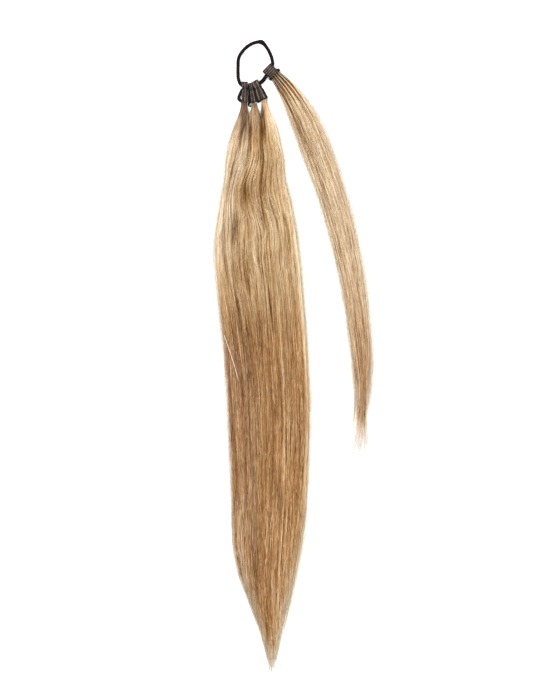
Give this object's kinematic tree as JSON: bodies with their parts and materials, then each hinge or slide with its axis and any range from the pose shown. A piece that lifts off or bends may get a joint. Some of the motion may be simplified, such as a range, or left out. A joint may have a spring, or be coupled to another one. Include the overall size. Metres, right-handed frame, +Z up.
{
  "type": "braid hairpiece",
  "caption": "Ponytail hairpiece laid flat: hanks of straight blonde hair sewn to weft heads that ribbon tabs hold on an elastic loop, with a thinner wrap hank to one side.",
  "frame": {"origin": "middle of the elastic loop, on the plane that the piece lies on", "axes": "+Z up from that plane, -Y along the hair from the loop to the tip, +X towards the side the wrap hank lies on"},
  "size_m": [0.1555, 0.627, 0.0161],
  "materials": {
    "elastic": "braided textile over elastic, dark brown",
    "ribbon": "ribbed woven ribbon, dark grey-brown",
    "weft_thread": "close rows of dark sewing thread",
    "hair": "long straight fibre with a soft gloss, blonde with paler and browner strands"
  },
  "bodies": {
    "root": {"elastic_loop": "elastic", "tab_left": "ribbon", "tab_middle": "ribbon", "tab_right": "ribbon", "tab_side": "ribbon", "weft_left": "weft_thread", "weft_middle": "weft_thread", "weft_right": "weft_thread", "weft_side": "weft_thread", "hair_left": "hair", "hair_middle": "hair", "hair_right": "hair", "hair_side": "hair"}
  },
  "joints": []
}
